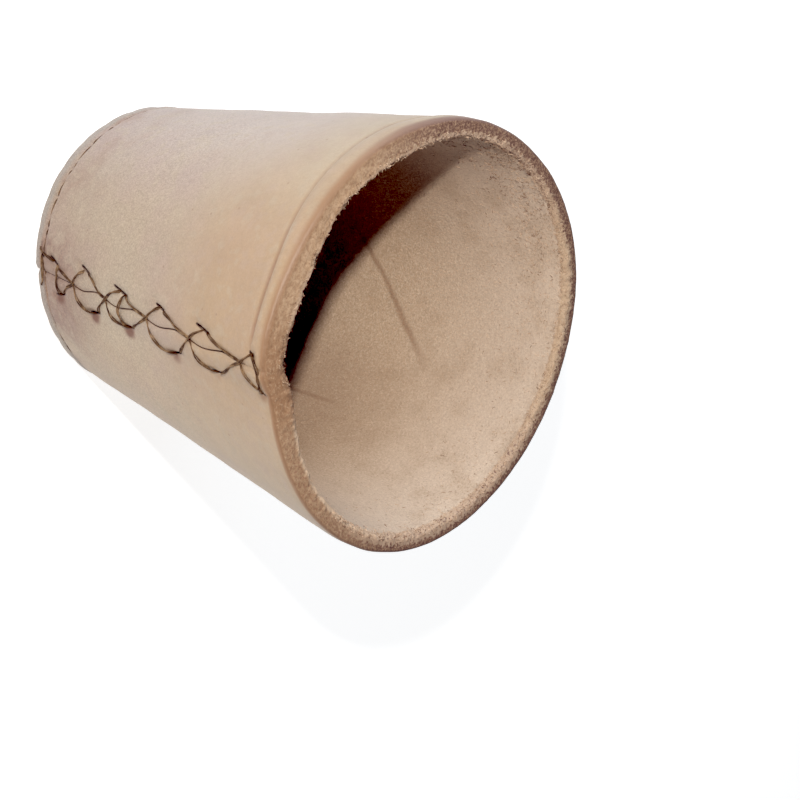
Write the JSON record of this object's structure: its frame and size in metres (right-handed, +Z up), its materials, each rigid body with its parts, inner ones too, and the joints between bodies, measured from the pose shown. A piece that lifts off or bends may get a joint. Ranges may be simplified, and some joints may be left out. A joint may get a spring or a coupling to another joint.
{
  "type": "dice cup",
  "caption": "Tapered leather dice cup: a rolled wall laced up one side, with a moulded leather base stitched into its lower end.",
  "frame": {"origin": "centre of the foot, in the plane that the cup stands on", "axes": "+Z up the cup's axis from the foot to the mouth, -Y towards the laced joint, +X to the right of the joint seen from outside"},
  "size_m": [0.065, 0.0666, 0.0685],
  "materials": {
    "wall_leather": "undyed vegetable-tanned leather, smooth grain outside and rough flesh inside, raw cut edges",
    "base_leather": "undyed vegetable-tanned leather, moulded wet, flesh side up",
    "thread": "waxed olive-brown linen thread"
  },
  "bodies": {
    "root": {"wall": "wall_leather", "base": "base_leather", "seam_thread": "thread", "foot_thread": "thread"}
  },
  "joints": []
}
